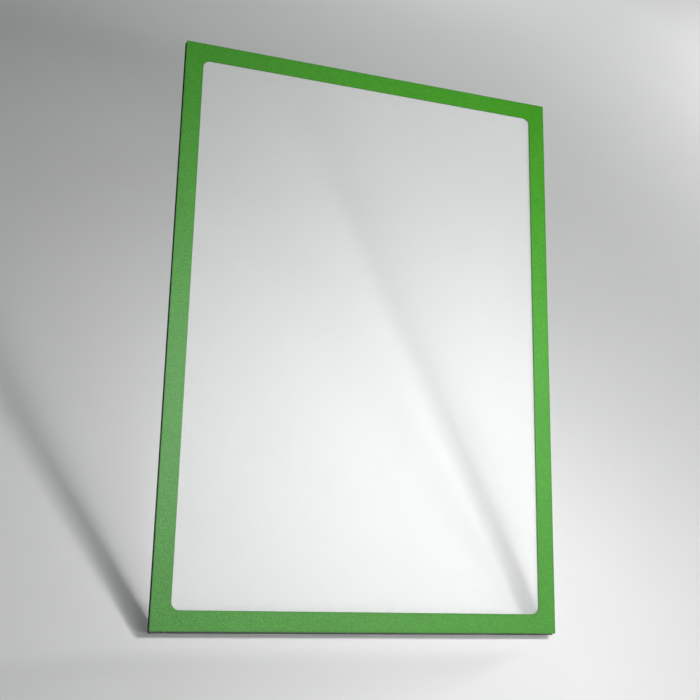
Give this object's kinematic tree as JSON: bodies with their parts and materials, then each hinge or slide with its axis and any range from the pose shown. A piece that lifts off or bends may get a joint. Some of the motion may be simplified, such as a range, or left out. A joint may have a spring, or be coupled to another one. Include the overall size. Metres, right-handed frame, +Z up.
{
  "type": "magnetic document pocket",
  "caption": "Flat upright document pocket with a coloured frame round a see-through window, a flap that opens like a door and magnet strips behind.",
  "frame": {"origin": "on the holding face, in the middle of the top magnet strip: half way across the pocket, 4 mm below its top edge", "axes": "+Z up along the sheet's long side, +X to the right seen from the front, +Y out of the holding face into the board; the window faces -Y"},
  "size_m": [0.223, 0.0041, 0.31],
  "materials": {
    "green_vinyl": "fine embossed grain, satin",
    "matt_film": "matt anti-glare film, see-through",
    "clear_film": "clear film, gloss",
    "hinge_vinyl": "soft folded film, satin",
    "magnet_rubber": "flexible magnet, dull"
  },
  "bodies": {
    "back_leaf": {"back_film": "clear_film", "holding_magnet_left": "magnet_rubber", "holding_magnet_right": "magnet_rubber", "holding_magnet_top": "magnet_rubber", "holding_magnet_bottom": "magnet_rubber", "hinge_wing_back": "hinge_vinyl"},
    "flap": {"flap_frame": "green_vinyl", "window_film": "matt_film", "closing_strip_left": "magnet_rubber", "closing_strip_top": "magnet_rubber", "closing_strip_bottom": "magnet_rubber", "hinge_wing_flap": "hinge_vinyl"}
  },
  "joints": [
    {"name": "flap_hinge", "type": "hinge", "parent": "back_leaf", "child": "flap", "pos_m": [0.1115, -0.00235, -0.1505], "axis": [0, 0, 1], "range_deg": [0, 180]}
  ]
}
